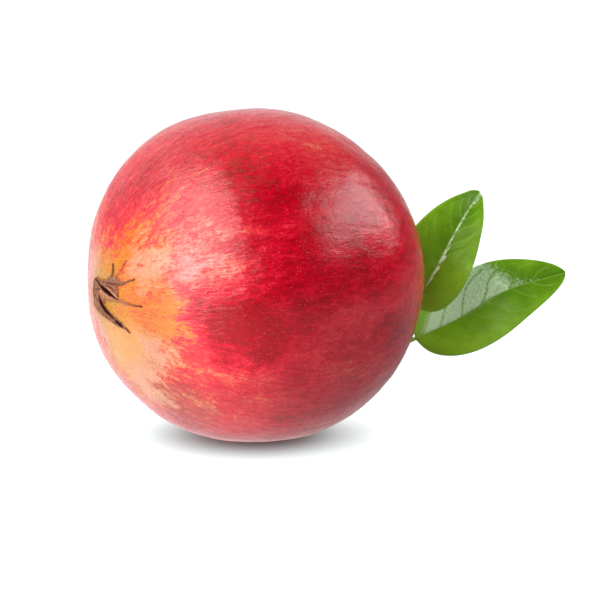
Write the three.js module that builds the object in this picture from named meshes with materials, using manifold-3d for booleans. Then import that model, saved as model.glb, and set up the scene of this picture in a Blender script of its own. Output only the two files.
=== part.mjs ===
// A pomegranate as picked, lying on its side: the whole fruit, its dried calyx, and a short
// woody stalk that carries two leaves.
//
// Millimetres, +Z up. The origin is the centre of the small flat spot that the fruit rests on.
// The calyx faces -X. The stalk and its leaves are at +X, a little towards +Y and low.

import * as THREE from "three";
import { mergeVertices } from "three/addons/utils/BufferGeometryUtils.js";
import Module from "manifold-3d";

const wasm = await Module();
wasm.setup();

const { Vector2, Vector3 } = THREE;
const vec = (x, y, z) => new Vector3(x, y, z);
const DEGREE = Math.PI / 180;

// ---- Driving dimensions ----

const FRUIT_RADIUS = 45;
const CENTRE_HEIGHT = 43.7; // of the fruit's middle over the surface: the flat spot is cut this far below it
const FRUIT_CENTRE = vec(0, 0, CENTRE_HEIGHT);
const MERIDIANS = 72;
const PARALLELS = 42;
const STEM_POLE = vec(0.935, 0.27, -0.23).normalize(); // where the stalk joins, not quite opposite the calyx

// The rind isn't a true ball: soft swellings and flats, each a direction, a height and a spread.
const SWELLINGS = [
  { towards: vec(-0.56, 0.36, 0.74), height: 0.8, spread: 24 * DEGREE },
  { towards: vec(-0.88, 0.2, -0.45), height: 0.3, spread: 15 * DEGREE },
  { towards: vec(-0.5, -0.1, -0.86), height: 0.3, spread: 15 * DEGREE },
  { towards: vec(-0.12, -0.28, -0.95), height: -0.8, spread: 20 * DEGREE },
  { towards: vec(0.66, -0.17, 0.73), height: -0.5, spread: 22 * DEGREE },
  { towards: vec(0.9, -0.43, -0.02), height: 0.3, spread: 24 * DEGREE },
  { towards: vec(-0.93, 0.37, 0.02), height: -0.7, spread: 12 * DEGREE },
  { towards: vec(-0.1, 0.25, 0.96), height: -0.5, spread: 12 * DEGREE },
  { towards: vec(-0.4, -0.66, 0.64), height: 0.5, spread: 20 * DEGREE },
  { towards: vec(0.45, -0.8, -0.4), height: 0.6, spread: 20 * DEGREE },
  { towards: vec(0.3, 0.88, -0.36), height: 0.8, spread: 26 * DEGREE },
  { towards: vec(0.1, 0.8, 0.59), height: -0.5, spread: 18 * DEGREE },
  { towards: vec(-1, 0, 0), height: -0.4, spread: 14 * DEGREE },
];
const STEM_DIMPLE = { depth: 1.5, spread: 10 * DEGREE };
const SEAM_COUNT = 6; // the fruit's faint lengthwise ridges
const SEAM_HEIGHT = 0.22;
const SEAM_TWIST = 0.8;

const TOUCH_GAP = 0.3; // between neighbouring pieces

// The calyx is laid out flat round its pole, which is turned a little from -X towards -Y: x is
// towards -Y and y is towards +Z, as seen facing the calyx.
const CALYX_TURN = 2.9 * DEGREE;
const CALYX_PLUG = { at: [0.8, 0.4], radius: 2.6, depth: 2.2, rise: 0.9 };
const STRIP_SECTION = [
  // across, in half widths, and up, in thicknesses
  [-1, 0.2],
  [-0.55, 0.9],
  [0, 1],
  [0.55, 0.9],
  [1, 0.2],
  [0.6, 0],
  [-0.6, 0],
];
const STRIP_STEPS = 10;
const PLUG_SIDES = 20;
// Each sepal has dried to a narrow strip: points from root to tip, with the width at each.
const SEPALS = {
  brow: {
    points: [[1.3, 3.2], [4.2, 3.9], [6.2, 5], [7.6, 6.4], [7.4, 8.9]],
    widths: [1.7, 1.7, 1.5, 1, 0.7],
    thick: 0.9,
  },
  fine: {
    points: [[6.3, 3.9], [8.7, 5.4], [11.2, 7.9], [12.8, 10.9]],
    widths: [1.4, 0.9, 0.7, 0.7],
    thick: 0.7,
  },
  upper: {
    points: [[1.6, 2.9], [5.5, 3.7], [8.6, 4.1], [11.3, 4.5], [15.1, 6], [16.9, 6.6]],
    widths: [2, 2.3, 2, 1.2, 0.8, 0.7],
    thick: 0.9,
  },
  web: {
    points: [[3.4, 3], [7.5, 3.1], [9.4, 2.7], [10.6, 1]],
    widths: [1.8, 2.2, 2.2, 0.8],
    thick: 0.9,
  },
  long: {
    points: [[1.9, 0.2], [5.1, 0], [7.6, -0.1], [12.1, -0.1], [16, -0.3], [19.9, -0.2]],
    widths: [1.8, 2, 1.3, 0.9, 0.8, 0.7],
    thick: 0.9,
  },
  broad: {
    points: [[-0.7, -2.8], [2.3, -4.1], [5, -4.9], [8, -5.7], [10.2, -6.3], [12.4, -7], [14.5, -8.2]],
    widths: [4, 3, 2.4, 1.9, 1.6, 0.9, 0.7],
    thick: 1.1,
  },
  lip: {
    points: [[-0.8, 3.6], [-1.25, 1.9], [-1.55, -0.5], [-1, -3]],
    widths: [0.8, 3.4, 4.8, 4.4],
    thick: 1.2,
  },
};
const STRIP_TIP_THICKNESS = 0.6;

// The stalk runs straight out of the fruit and then bends down. Points are from the fruit's centre.
const STALK_POINTS = [
  vec(41.4, 12, -9.9),
  vec(44.4, 12.9, -11),
  vec(48.6, 14.9, -13.4),
  vec(50.7, 16.6, -18.1),
  vec(50.5, 16.8, -23.8),
  vec(49.3, 16.3, -28.3),
];
const STALK_RADII = [2.5, 1.8, 1.5, 1.6, 1.4, 1.5];
const STALK_SIDES = 12;
const STALK_STEPS = 22;
const STALK_SEAT_LENGTH = 8; // past the rind, so that the cut is open

const BLADE_THICKNESS = 0.7;
const BLADE_ROWS = 28;
const ROW_CROWDING = 1.25; // over 1, the rows stand closer together towards the tip
const BLADE_COLUMNS = 10; // from margin to margin
const COLUMN_CROWDING = 1.4; // over 1, the columns stand closer together beside the midrib
const MIDRIB = { halfWidth: 0.9, height: 0.5 }; // it stands out under the blade
const PETIOLE = { share: 0.09, halfWidth: 0.65, thickness: 1.2 };
const TIP_HALF_WIDTH = 0.35;
// A midrib's points run from the stalk to the tip, from the fruit's centre. The upper side looks along face.
// The outline's two powers give how full the blade is towards its root and towards its tip. Its
// skew is how much wider the blade is on one side of the midrib than on the other.
const LEAVES = {
  leaf_upper: {
    midrib: [vec(53.2, 17.9, -19.3), vec(57.3, 13.5, -10), vec(66.4, 12.5, 6.2), vec(74.9, 16.5, 14.7)],
    face: vec(-0.38, -0.88, 0.3),
    halfWidth: 10.3,
    outline: [0.42, 0.81],
    skew: -0.09,
    fold: 0.2,
    wave: { height: 0.5, count: 2.5, phase: 0.4 },
  },
  leaf_lower: {
    midrib: [vec(51.7, 17.3, -27.6), vec(68.5, 18.2, -22.6), vec(83, 15, -14.6), vec(99.3, 12, -9.9)],
    face: vec(-0.3, -0.76, 0.56),
    halfWidth: 11.2,
    outline: [0.42, 0.66],
    skew: 0.07,
    fold: 0.22,
    wave: { height: 0.6, count: 2, phase: 2.1 },
  },
};

const COLOURS = { rind: "#c4283a", calyx: "#7d6154", stalk: "#6f5a42", leaf: "#4f8a1e" };

// ---- Solids ----

function toSolid(geometry) {
  const bare = geometry.clone();
  bare.deleteAttribute("normal");
  bare.deleteAttribute("uv");
  const merged = mergeVertices(bare, 1e-4);
  const mesh = new wasm.Mesh({
    numProp: 3,
    vertProperties: merged.attributes.position.array,
    triVerts: new Uint32Array(merged.index.array),
  });
  return new wasm.Manifold(mesh);
}

function toGeometry(solid) {
  const mesh = solid.getMesh();
  const geometry = new THREE.BufferGeometry();
  geometry.setAttribute("position", new THREE.BufferAttribute(mesh.vertProperties, 3));
  geometry.setIndex(new THREE.BufferAttribute(mesh.triVerts, 1));
  geometry.computeVertexNormals();
  return geometry;
}

// A closed tube through rings of points, with a flat end at each side.
function skin(rings) {
  const sides = rings[0].length;
  const index = [];
  for (let i = 0; i + 1 < rings.length; i++) {
    for (let j = 0; j < sides; j++) {
      const a = i * sides + j;
      const b = i * sides + ((j + 1) % sides);
      index.push(a, b, b + sides, a, b + sides, a + sides);
    }
  }
  const last = (rings.length - 1) * sides;
  for (let j = 1; j + 1 < sides; j++) {
    index.push(0, j + 1, j, last, last + j, last + j + 1);
  }
  const geometry = new THREE.BufferGeometry().setFromPoints(rings.flat());
  return geometry.setIndex(index);
}

// A closed slab between two grids of points, split into triangles alike on both faces.
function slab(upper, lower) {
  const rows = upper.length;
  const columns = upper[0].length;
  const under = rows * columns;
  const index = [];
  for (let i = 0; i + 1 < rows; i++) {
    for (let j = 0; j + 1 < columns; j++) {
      const a = i * columns + j;
      const b = a + 1;
      const c = b + columns;
      const d = a + columns;
      index.push(a, b, c, a, c, d);
      index.push(under + a, under + c, under + b, under + a, under + d, under + c);
    }
  }
  const rim = [];
  for (let j = 0; j < columns; j++) rim.push(j);
  for (let i = 1; i < rows; i++) rim.push(i * columns + columns - 1);
  for (let j = columns - 2; j >= 0; j--) rim.push((rows - 1) * columns + j);
  for (let i = rows - 2; i > 0; i--) rim.push(i * columns);
  rim.forEach((a, k) => {
    const b = rim[(k + 1) % rim.length];
    index.push(a, under + a, under + b, a, under + b, b);
  });
  const geometry = new THREE.BufferGeometry().setFromPoints([...upper.flat(), ...lower.flat()]);
  return geometry.setIndex(index);
}

function plug(from, direction, radius, length) {
  const cylinder = new THREE.CylinderGeometry(radius, radius, length, PLUG_SIDES);
  cylinder.translate(0, length / 2, 0);
  cylinder.applyQuaternion(new THREE.Quaternion().setFromUnitVectors(vec(0, 1, 0), direction));
  return toSolid(cylinder.translate(from.x, from.y, from.z));
}

const smooth = (x) => {
  const t = Math.min(Math.max(x, 0), 1);
  return t * t * (3 - 2 * t);
};

// ---- The fruit ----

// The distance from the fruit's centre to the rind, along a unit direction.
function rindRadius(direction) {
  let radius = FRUIT_RADIUS;
  for (const { towards, height, spread } of SWELLINGS) {
    radius += height * Math.exp(-((direction.angleTo(towards) / spread) ** 2));
  }
  radius -= STEM_DIMPLE.depth * Math.exp(-((direction.angleTo(STEM_POLE) / STEM_DIMPLE.spread) ** 2));
  const around = Math.atan2(direction.z, direction.y);
  const girth = 1 - direction.x ** 2;
  return radius + SEAM_HEIGHT * girth * Math.cos(SEAM_COUNT * around + SEAM_TWIST * direction.x);
}

function makeFruit(calyxSeat, stalkSeat) {
  const ball = new THREE.SphereGeometry(1, MERIDIANS, PARALLELS);
  ball.rotateZ(Math.PI / 2);
  const points = ball.attributes.position;
  const point = vec(0, 0, 0);
  for (let i = 0; i < points.count; i++) {
    point.fromBufferAttribute(points, i).normalize();
    point.multiplyScalar(rindRadius(point)).add(FRUIT_CENTRE);
    points.setXYZ(i, point.x, point.y, point.z);
  }
  const under = new THREE.BoxGeometry(4 * FRUIT_RADIUS, 4 * FRUIT_RADIUS, FRUIT_RADIUS);
  under.translate(0, 0, -FRUIT_RADIUS / 2);
  return toSolid(ball).subtract(toSolid(under)).subtract(calyxSeat).subtract(stalkSeat);
}

// ---- The calyx ----

// A point over the rind near the calyx, from its place on the flat layout and its lift.
function overCalyxEnd([x, y], lift) {
  const angle = Math.hypot(x, y) / FRUIT_RADIUS;
  const bearing = Math.atan2(y, x);
  const sine = Math.sin(angle);
  const direction = vec(-Math.cos(angle), -sine * Math.cos(bearing), sine * Math.sin(bearing));
  direction.applyAxisAngle(vec(0, 0, 1), CALYX_TURN);
  return direction.clone().multiplyScalar(rindRadius(direction) + lift).add(FRUIT_CENTRE);
}

function makeStrip({ points, widths, thick }) {
  const line = new THREE.SplineCurve(points.map(([x, y]) => new Vector2(x, y)));
  const widthAlong = new THREE.SplineCurve(widths.map((width, i) => new Vector2(i, width)));
  const rings = [];
  for (let i = 0; i <= STRIP_STEPS; i++) {
    const t = i / STRIP_STEPS;
    const middle = line.getPoint(t);
    const along = line.getTangent(t);
    const half = widthAlong.getPoint(t).y / 2;
    const thickness = THREE.MathUtils.lerp(thick, STRIP_TIP_THICKNESS, t);
    rings.push(
      STRIP_SECTION.map(([across, up]) =>
        overCalyxEnd(
          [middle.x + along.y * across * half, middle.y - along.x * across * half],
          TOUCH_GAP + up * thickness,
        ),
      ),
    );
  }
  return toSolid(skin(rings));
}

function makeCalyx() {
  const { at, radius, depth, rise } = CALYX_PLUG;
  const foot = overCalyxEnd(at, -depth);
  const out = overCalyxEnd(at, 0).sub(FRUIT_CENTRE).normalize();
  let calyx = plug(foot, out, radius, depth + rise);
  for (const sepal of Object.values(SEPALS)) calyx = calyx.add(makeStrip(sepal));
  const seatFoot = foot.clone().addScaledVector(out, -TOUCH_GAP);
  const seat = plug(seatFoot, out, radius + TOUCH_GAP, 2 * depth);
  return { calyx, seat };
}

// ---- The stalk ----

function makeStalk() {
  const curve = new THREE.CatmullRomCurve3(STALK_POINTS.map((p) => p.clone().add(FRUIT_CENTRE)));
  const radiusAlong = new THREE.SplineCurve(STALK_RADII.map((radius, i) => new Vector2(i, radius)));
  const frames = curve.computeFrenetFrames(STALK_STEPS, false);
  const rings = [];
  for (let i = 0; i <= STALK_STEPS; i++) {
    const t = i / STALK_STEPS;
    const middle = curve.getPointAt(t);
    const radius = radiusAlong.getPoint(curve.getUtoTmapping(t)).y;
    const ring = [];
    for (let j = 0; j < STALK_SIDES; j++) {
      const turn = (2 * Math.PI * j) / STALK_SIDES;
      const across = frames.normals[i].clone().multiplyScalar(Math.cos(turn));
      across.addScaledVector(frames.binormals[i], Math.sin(turn));
      ring.push(middle.clone().addScaledVector(across, radius));
    }
    rings.push(ring);
  }
  const out = curve.getTangent(0);
  const foot = curve.getPoint(0);
  foot.addScaledVector(out, -TOUCH_GAP);
  const seat = plug(foot, out, STALK_RADII[0] + TOUCH_GAP, STALK_SEAT_LENGTH);
  return { stalk: toSolid(skin(rings)), seat };
}

// ---- The leaves ----

// The blade's half width as a share of its widest, from its root (0) to its tip (1).
function bladeShare(s, [rootPower, tipPower]) {
  const widest = rootPower / (rootPower + tipPower);
  return (s / widest) ** rootPower * ((1 - s) / (1 - widest)) ** tipPower;
}

function makeLeaf({ midrib, face, halfWidth, outline, skew, fold, wave }) {
  const curve = new THREE.CatmullRomCurve3(midrib.map((p) => p.clone().add(FRUIT_CENTRE)));
  const upper = [];
  const lower = [];
  for (let i = 0; i <= BLADE_ROWS; i++) {
    const t = 1 - (1 - i / BLADE_ROWS) ** ROW_CROWDING;
    const middle = curve.getPointAt(t);
    const along = curve.getTangentAt(t);
    const side = along.clone().cross(face).normalize();
    const up = side.clone().cross(along);
    const s = Math.max(0, (t - PETIOLE.share) / (1 - PETIOLE.share));
    const stem = 1 - smooth(t / (2 * PETIOLE.share));
    const least = THREE.MathUtils.lerp(TIP_HALF_WIDTH, PETIOLE.halfWidth, stem);
    const half = Math.max(least, halfWidth * bladeShare(s, outline));
    const thickness = THREE.MathUtils.lerp(BLADE_THICKNESS, PETIOLE.thickness, stem);
    const lean = skew * Math.sqrt(Math.sin(Math.PI * Math.min(t, 1)) + 1e-9);
    const upperRow = [];
    const lowerRow = [];
    for (let j = 0; j <= BLADE_COLUMNS; j++) {
      const v = (2 * j) / BLADE_COLUMNS - 1;
      const share = Math.sign(v) * Math.abs(v) ** COLUMN_CROWDING;
      const across = share * half * (1 + Math.sign(v) * lean);
      const turn = 2 * Math.PI * wave.count * t + wave.phase + Math.sign(v);
      const ripple = wave.height * share ** 2 * Math.sin(turn);
      const lift = (fold * Math.abs(across) + ripple) * (1 - stem);
      const rib = MIDRIB.height * Math.exp(-((across / MIDRIB.halfWidth) ** 2)) * (1 - t) * (1 - stem);
      const point = middle.clone().addScaledVector(side, across);
      upperRow.push(point.clone().addScaledVector(up, lift + thickness / 2));
      lowerRow.push(point.clone().addScaledVector(up, lift - thickness / 2 - rib));
    }
    upper.push(upperRow);
    lower.push(lowerRow);
  }
  return toSolid(slab(upper, lower));
}

// ---- The whole pomegranate ----

function addNode(group, name, solid, colour, roughness) {
  const material = new THREE.MeshStandardMaterial({ color: colour, roughness, metalness: 0 });
  const mesh = new THREE.Mesh(toGeometry(solid), material);
  mesh.name = name;
  group.add(mesh);
}

const pomegranate = new THREE.Group();
const { calyx, seat: calyxSeat } = makeCalyx();
const { stalk, seat: stalkSeat } = makeStalk();
addNode(pomegranate, "fruit", makeFruit(calyxSeat, stalkSeat), COLOURS.rind, 0.4);
addNode(pomegranate, "calyx", calyx, COLOURS.calyx, 0.8);
addNode(pomegranate, "stalk", stalk, COLOURS.stalk, 0.8);
for (const [name, leaf] of Object.entries(LEAVES)) {
  addNode(pomegranate, name, makeLeaf(leaf), COLOURS.leaf, 0.45);
}

export default pomegranate;
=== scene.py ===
"""A pomegranate as picked: the whole fruit on its side, its dried calyx, and a stalk with two leaves.

Metres, +Z up. The fruit rests at the origin, its calyx faces -X and its stalk is at +X.
"""

import math
import bpy
import numpy as np
from mathutils import Matrix, Vector, noise


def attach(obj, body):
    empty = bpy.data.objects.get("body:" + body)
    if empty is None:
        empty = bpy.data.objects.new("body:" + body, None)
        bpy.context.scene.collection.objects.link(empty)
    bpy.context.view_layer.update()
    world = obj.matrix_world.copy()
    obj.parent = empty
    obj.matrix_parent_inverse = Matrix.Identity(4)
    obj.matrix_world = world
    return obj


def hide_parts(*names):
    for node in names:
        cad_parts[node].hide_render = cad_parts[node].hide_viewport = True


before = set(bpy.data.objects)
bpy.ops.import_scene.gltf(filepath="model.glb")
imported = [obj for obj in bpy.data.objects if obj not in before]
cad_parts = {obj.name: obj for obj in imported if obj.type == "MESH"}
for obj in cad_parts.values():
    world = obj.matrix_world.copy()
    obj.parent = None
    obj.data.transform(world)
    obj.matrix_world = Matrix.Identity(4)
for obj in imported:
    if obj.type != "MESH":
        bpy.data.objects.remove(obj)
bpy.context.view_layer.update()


# ---- The rind ----
# A pomegranate's rind is a leathery skin 3 mm thick with a waxy bloom. It is ripe red, streaked from
# end to end, and it stays golden and cream round the calyx, where the sun didn't reach it.

MM = 0.001
FRUIT_RADIUS = 45
FRUIT_CENTRE = np.array([0, 0, 43.7])
STALK_END = (0.935, 0.27, -0.23)
SWELLINGS = [  # direction, height in mm, spread in degrees
    ((-0.56, 0.36, 0.74), 0.8, 24),
    ((-0.88, 0.2, -0.45), 0.3, 15),
    ((-0.5, -0.1, -0.86), 0.3, 15),
    ((-0.12, -0.28, -0.95), -0.8, 20),
    ((0.66, -0.17, 0.73), -0.5, 22),
    ((0.9, -0.43, -0.02), 0.3, 24),
    ((-0.93, 0.37, 0.02), -0.7, 12),
    ((-0.1, 0.25, 0.96), -0.5, 12),
    ((-0.4, -0.66, 0.64), 0.5, 20),
    ((0.45, -0.8, -0.4), 0.6, 20),
    ((0.3, 0.88, -0.36), 0.8, 26),
    ((0.1, 0.8, 0.59), -0.5, 18),
    ((-1, 0, 0), -0.4, 14),
    (STALK_END, -1.5, 10),
]
# The rind stands out a little over the walls between the seed chambers
SEAM_COUNT = 6
SEAM_HEIGHT = 0.22
SEAM_TWIST = 0.8
DENTS = [(0.16, 5), (0.07, 14)]  # height in mm, and how many to the fruit's radius
RIDGE_HEIGHT = 0.05  # fine ridges from end to end, about 2 mm apart
RIDGES = 22  # to the fruit's radius
RIDGE_LENGTH = 4  # times its width
STREAK_SPREAD = 0.75  # ridges and streaks are as wide as the fruit's girth to this power
LEAST_GIRTH = 0.02  # a share of the radius
RIND_SQUARES = 128  # along each side of the six patches that the ball is made from
FLAT_SOFTNESS = 0.12  # how gently the rind turns into the flat spot it rests on


def unit(vectors):
    vectors = np.asarray(vectors, float)
    return vectors / np.linalg.norm(vectors, axis=-1, keepdims=True)


def hill(x):
    """1 at 0, falling smoothly to about a third at 1 and next to nothing at 2."""
    return np.exp(-(x**2))


def rind_radius(ways):
    """How far the rind is from the fruit's centre, in mm, along unit directions."""
    radius = np.full(ways.shape[:-1], float(FRUIT_RADIUS))
    for towards, height, spread in SWELLINGS:
        angle = np.degrees(np.arccos(np.clip(ways @ unit(towards), -1, 1)))
        radius += height * hill(angle / spread)
    x, y, z = np.moveaxis(ways, -1, 0)
    return radius + SEAM_HEIGHT * (1 - x * x) * np.cos(SEAM_COUNT * np.arctan2(z, y) + SEAM_TWIST * x)


def roughly(points, scale):
    """Smooth noise, about -0.5 to 0.5, with features 1/scale across."""
    return np.array([noise.noise(Vector(point)) for point in np.asarray(points) * scale])


def add_piece(name, points, faces, attributes=None):
    """A smooth mesh object from points in mm and quads, with float attributes on its points."""
    mesh = bpy.data.meshes.new(name)
    mesh.from_pydata((np.asarray(points) * MM).tolist(), [], [tuple(face) for face in faces])
    for title, values in (attributes or {}).items():
        kind, field = ("FLOAT", "value") if np.ndim(values) == 1 else ("FLOAT_VECTOR", "vector")
        layer = mesh.attributes.new(title, kind, "POINT")
        layer.data.foreach_set(field, np.asarray(values, np.float32).ravel())
    mesh.shade_smooth()
    piece = bpy.data.objects.new(name, mesh)
    bpy.context.scene.collection.objects.link(piece)
    return piece


def patch_lattice(squares):
    """A cube's surface as whole-number points and quads, wound to face out."""
    i, j = np.meshgrid(np.arange(squares + 1), np.arange(squares + 1), indexing="ij")
    corners, quads = [], []
    row = squares + 1
    a = (np.arange(squares)[:, None] * row + np.arange(squares)).ravel()
    for axis in range(3):
        for side in (0, squares):
            grid = np.empty((row * row, 3), int)
            grid[:, axis] = side
            grid[:, (axis + 1) % 3] = i.ravel()
            grid[:, (axis + 2) % 3] = j.ravel()
            face = np.stack([a, a + row, a + row + 1, a + 1], axis=1)
            quads.append((face if side else face[:, ::-1]) + len(corners) * row * row)
            corners.append(grid)
    points, place = np.unique(np.concatenate(corners), axis=0, return_inverse=True)
    return points, place.ravel()[np.concatenate(quads)]


lattice, rind_quads = patch_lattice(RIND_SQUARES)
ways = unit(np.tan((lattice / RIND_SQUARES * 2 - 1) * math.pi / 4))
radius = rind_radius(ways)
radius += sum(height * roughly(ways, count) for height, count in DENTS)
# Round the fruit a ridge keeps its place, and it thins out to nothing at the two ends
girth = np.maximum(np.hypot(ways[:, 1], ways[:, 2]), LEAST_GIRTH)
from_pole = np.arccos(-ways[:, 0]) / RIDGE_LENGTH
ridges = np.c_[ways[:, 1] / girth**STREAK_SPREAD, ways[:, 2] / girth**STREAK_SPREAD, from_pole]
radius += RIDGE_HEIGHT * roughly(ridges, RIDGES) * np.minimum(girth * 2, 1)
rind_points = ways * radius[:, None] + FRUIT_CENTRE
rind_points[:, 2] = FLAT_SOFTNESS * np.logaddexp(0, rind_points[:, 2] / FLAT_SOFTNESS)
rind = add_piece("rind", rind_points, rind_quads)


def linear(hex_colour):
    """An sRGB hex colour as the linear RGBA that a shader takes."""
    values = [int(hex_colour[i:i + 2], 16) / 255 for i in (1, 3, 5)]
    return [v / 12.92 if v <= 0.04045 else ((v + 0.055) / 1.055) ** 2.4 for v in values] + [1]


def feed(tree, socket, value):
    """Gives a socket a value, or links it to a node or to another node's socket."""
    if isinstance(value, bpy.types.Node):
        value = next(s for s in value.outputs if s.enabled)
    if isinstance(value, bpy.types.NodeSocket):
        tree.links.new(value, socket)
    else:
        socket.default_value = value


def add_node(tree, kind, links=None, stops=None, **settings):
    """Adds a shader node. links says what feeds each of its sockets, by name or by number."""
    made = tree.nodes.new(kind)
    for name, value in settings.items():
        setattr(made, name, value)
    for key, value in (links or {}).items():
        feed(tree, made.inputs[key] if isinstance(key, int) else next(
            s for s in made.inputs if s.enabled and s.name == key), value)
    for k, (place, colour) in enumerate(stops or []):
        spots = made.color_ramp.elements
        spot = spots[k] if k < 2 else spots.new(place)
        spot.position, spot.color = place, colour
    return made


def new_material(name):
    """A material, its node tree and its shader."""
    made = bpy.data.materials.new(name)
    made.use_nodes = True
    return made, made.node_tree, made.node_tree.nodes["Principled BSDF"]


# Pomegranate skin, grown, with its own wax: a satin sheen, in which lamps show as wide pale patches.
waxy_rind, tree, shader = new_material("pomegranate_rind_waxy")
whole = add_node(tree, "ShaderNodeTexCoord")
from_centre = add_node(
    tree, "ShaderNodeVectorMath", {0: whole.outputs["Object"], 1: FRUIT_CENTRE * MM}, operation="SUBTRACT")
way = add_node(tree, "ShaderNodeVectorMath", {0: from_centre}, operation="NORMALIZE")
parts = add_node(tree, "ShaderNodeSeparateXYZ", {0: way})
# Where a place is among the streaks: round the fruit by its bearing, drawn in as the fruit narrows,
# and along it by its angle from the calyx
backwards = add_node(tree, "ShaderNodeMath", {0: parts.outputs["X"], 1: -1.0}, operation="MULTIPLY")
pole_angle = add_node(tree, "ShaderNodeMath", {0: backwards}, operation="ARCCOSINE")
squared = add_node(
    tree, "ShaderNodeMath", {0: parts.outputs["X"], 1: parts.outputs["X"]}, operation="MULTIPLY")
JUST_OVER_ONE = 1.0001  # so that the girth stays above nothing at the ends
girth_squared = add_node(tree, "ShaderNodeMath", {0: JUST_OVER_ONE, 1: squared}, operation="SUBTRACT")
widen = add_node(tree, "ShaderNodeMath", {0: girth_squared, 1: -STREAK_SPREAD / 2}, operation="POWER")
y_wide = add_node(tree, "ShaderNodeMath", {0: parts.outputs["Y"], 1: widen}, operation="MULTIPLY")
z_wide = add_node(tree, "ShaderNodeMath", {0: parts.outputs["Z"], 1: widen}, operation="MULTIPLY")
streak_place = add_node(tree, "ShaderNodeCombineXYZ", {"X": y_wide, "Y": z_wide, "Z": pole_angle})

# Streaks run from the calyx to the stalk. They spread as the fruit does, so their width is that at its
# widest. Blotches, mottling and grain are as wide as they are long.
STREAKS = {  # width and length in mm, detail, distortion
    "bands": (8, 24, 3, 0.6),
    "streaks": (1.7, 7, 4, 0.7),
    "fibres": (0.55, 2.2, 3, 0.5),
    "wrinkles": (1.1, 4.5, 2, 1.2),
}
noises = {}
for name, (across, along, detail, distortion) in STREAKS.items():
    place = add_node(tree, "ShaderNodeVectorMath", {
        0: streak_place, 1: (FRUIT_RADIUS / across, FRUIT_RADIUS / across, FRUIT_RADIUS / along)},
        operation="MULTIPLY")
    noises[name] = add_node(tree, "ShaderNodeTexNoise", {
        "Vector": place, "Scale": 1.0, "Detail": detail, "Roughness": 0.6, "Distortion": distortion})
SPOTS = {"blotches": (7, 4), "mottle": (1.2, 4), "grain": (0.5, 2)}  # width in mm, detail
for name, (across, detail) in SPOTS.items():
    noises[name] = add_node(tree, "ShaderNodeTexNoise", {
        "Vector": way, "Scale": FRUIT_RADIUS / across, "Detail": detail, "Roughness": 0.62})


def add_patches(patches, start, looking, softness=0):
    """Adds each patch's value (or blends in its colour) round the way that it lies, all in degrees."""
    total = start
    for towards, inner, outer, value in patches:
        facing = add_node(
            tree, "ShaderNodeVectorMath", {0: looking, 1: tuple(unit(towards))}, operation="DOT_PRODUCT")
        near = add_node(tree, "ShaderNodeMapRange", {
            "Value": facing, "From Min": math.cos(math.radians(outer + softness)),
            "From Max": math.cos(math.radians(max(inner - softness, 0))), "To Min": 0.0,
            "To Max": 1.0 if isinstance(value, str) else value}, interpolation_type="SMOOTHSTEP")
        if isinstance(value, str):
            total = add_node(
                tree, "ShaderNodeMix", {"Factor": near, "A": total, "B": linear(value)}, data_type="RGBA")
        else:
            total = add_node(tree, "ShaderNodeMath", {0: total, 1: near}, operation="ADD")
    return total


# The patches' edges are torn lengthwise: they are looked up along ways that the noises push about.
TORN_SOFTNESS = 2
torn_way = way
for name, push in (("streaks", 0.14), ("blotches", 0.2), ("bands", 0.2)):
    shift = add_node(tree, "ShaderNodeVectorMath", {
        0: noises[name].outputs["Color"], 1: (-0.5, -0.5, -0.5)}, operation="ADD")
    torn_way = add_node(tree, "ShaderNodeVectorMath", {
        0: shift, 1: (push, push, push), 2: torn_way}, operation="MULTIPLY_ADD")
torn_way = add_node(tree, "ShaderNodeVectorMath", {0: torn_way}, operation="NORMALIZE")
torn_x = add_node(tree, "ShaderNodeSeparateXYZ", {0: torn_way})
torn_x = add_node(tree, "ShaderNodeMath", {0: torn_x.outputs["X"], 1: -1.0}, operation="MULTIPLY")
along_fruit = add_node(tree, "ShaderNodeMath", {0: torn_x}, operation="ARCCOSINE")
along_fruit = add_node(tree, "ShaderNodeMath", {0: along_fruit, 1: 1 / math.pi}, operation="MULTIPLY")

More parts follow.
